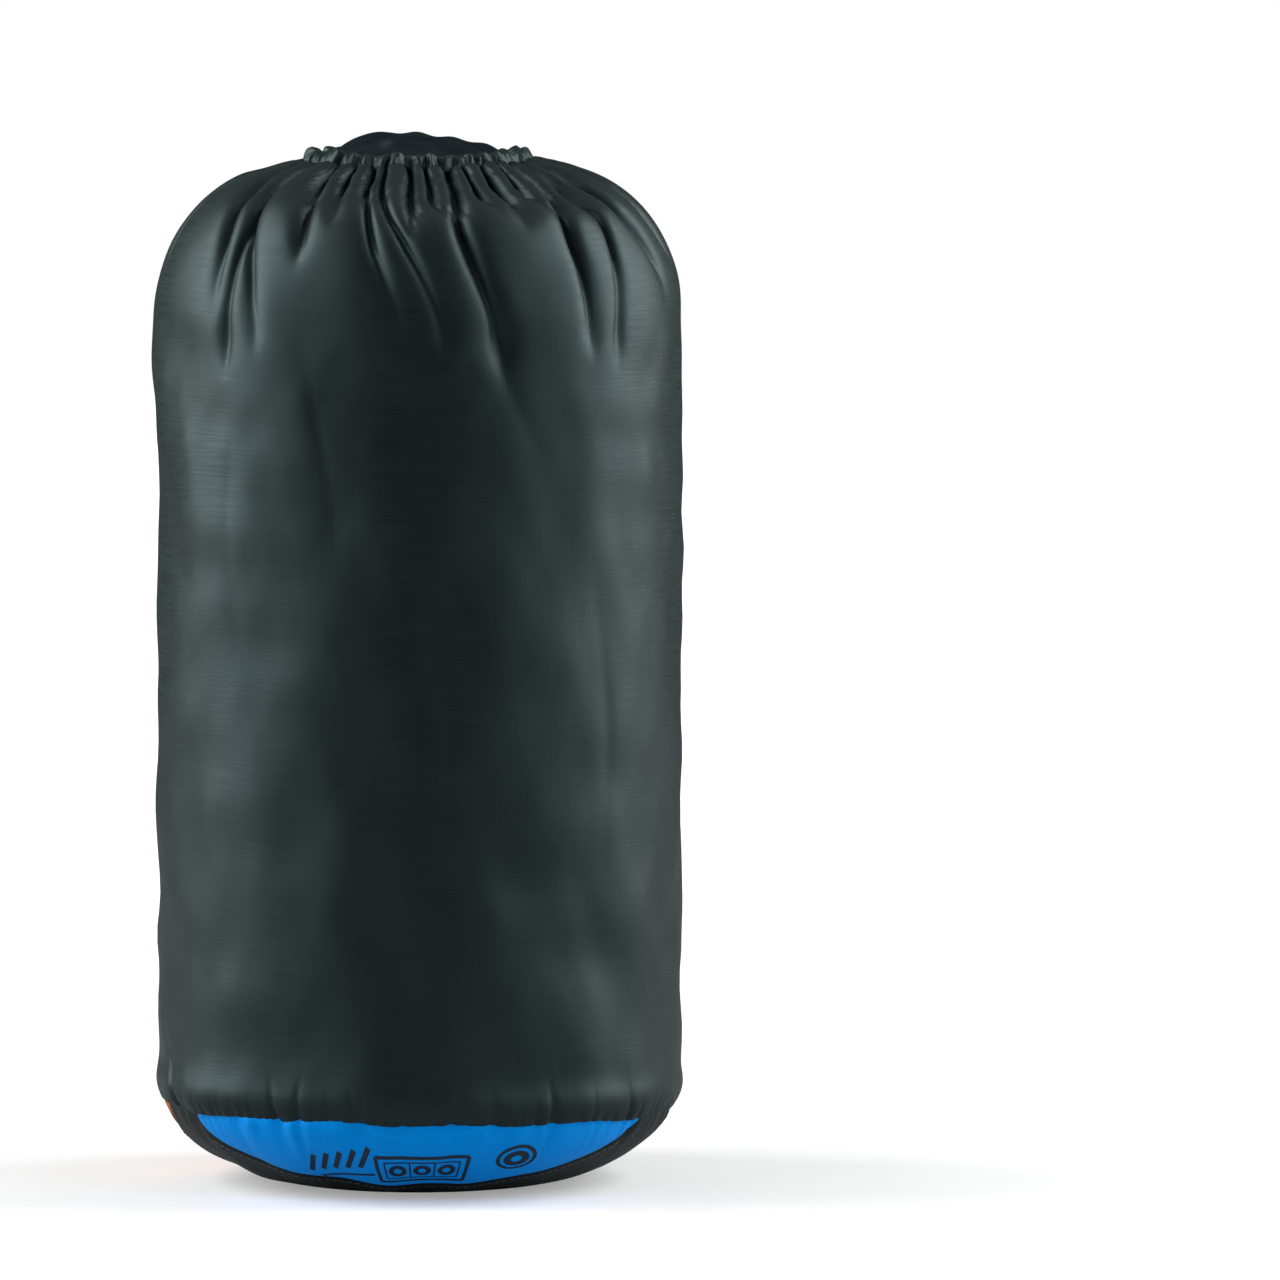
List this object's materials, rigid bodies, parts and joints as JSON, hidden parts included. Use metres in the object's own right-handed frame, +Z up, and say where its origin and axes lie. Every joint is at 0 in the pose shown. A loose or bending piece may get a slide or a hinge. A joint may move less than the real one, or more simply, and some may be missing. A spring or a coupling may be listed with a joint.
{
  "type": "stuff sack",
  "caption": "Round drawcord stuff sack, packed full and standing on its base, with a gathered mouth, dust flap, cord lock and coloured base panels.",
  "frame": {"origin": "middle of the round base on the ground", "axes": "+Z up along the sack to its mouth, -Y to the front where the coloured base panel is, +X to the right seen from the front"},
  "size_m": [0.211, 0.211, 0.422],
  "materials": {
    "slate_nylon": "satin",
    "base_nylon": "satin",
    "blue_nylon": "satin",
    "flap_nylon": "satin",
    "bag_shell": "satin",
    "seam_tape": "matte",
    "orange_nylon": "satin",
    "cord": "matte",
    "lock_plastic": "satin",
    "button_plastic": "satin",
    "spring_steel": "satin"
  },
  "bodies": {
    "sack": {"packed_sleeping_bag": "bag_shell", "body_panel": "slate_nylon", "back_seam_tape": "seam_tape", "base_front_panel": "blue_nylon", "base_rear_panel": "orange_nylon", "base_main_panel": "base_nylon", "base_seam_binding": "seam_tape", "hem_channel": "slate_nylon", "drawcord": "cord", "drawcord_knot": "cord", "flap_root": "flap_nylon"},
    "flap": {"mouth_flap": "flap_nylon", "flap_edge_binding": "seam_tape"},
    "cord_lock": {"cord_lock_barrel": "lock_plastic", "cord_lock_spring": "spring_steel"},
    "lock_button": {"cord_lock_plunger": "button_plastic"}
  },
  "joints": [
    {"name": "flap_lift", "type": "hinge", "parent": "sack", "child": "flap", "pos_m": [0, 0.024, 0.418], "axis": [-1, 0, 0], "range_deg": [0, 150]},
    {"name": "cord_lock_slide", "type": "slide", "parent": "sack", "child": "cord_lock", "axis": [0, 0.9724, -0.2334], "range_m": [0, 0.01]},
    {"name": "lock_button_press", "type": "slide", "parent": "cord_lock", "child": "lock_button", "axis": [-1, 0, 0], "range_m": [0, 0.003], "stiffness_N_per_m": 800, "springref_m": -0.002, "deforming": ["cord_lock_spring"]}
  ]
}
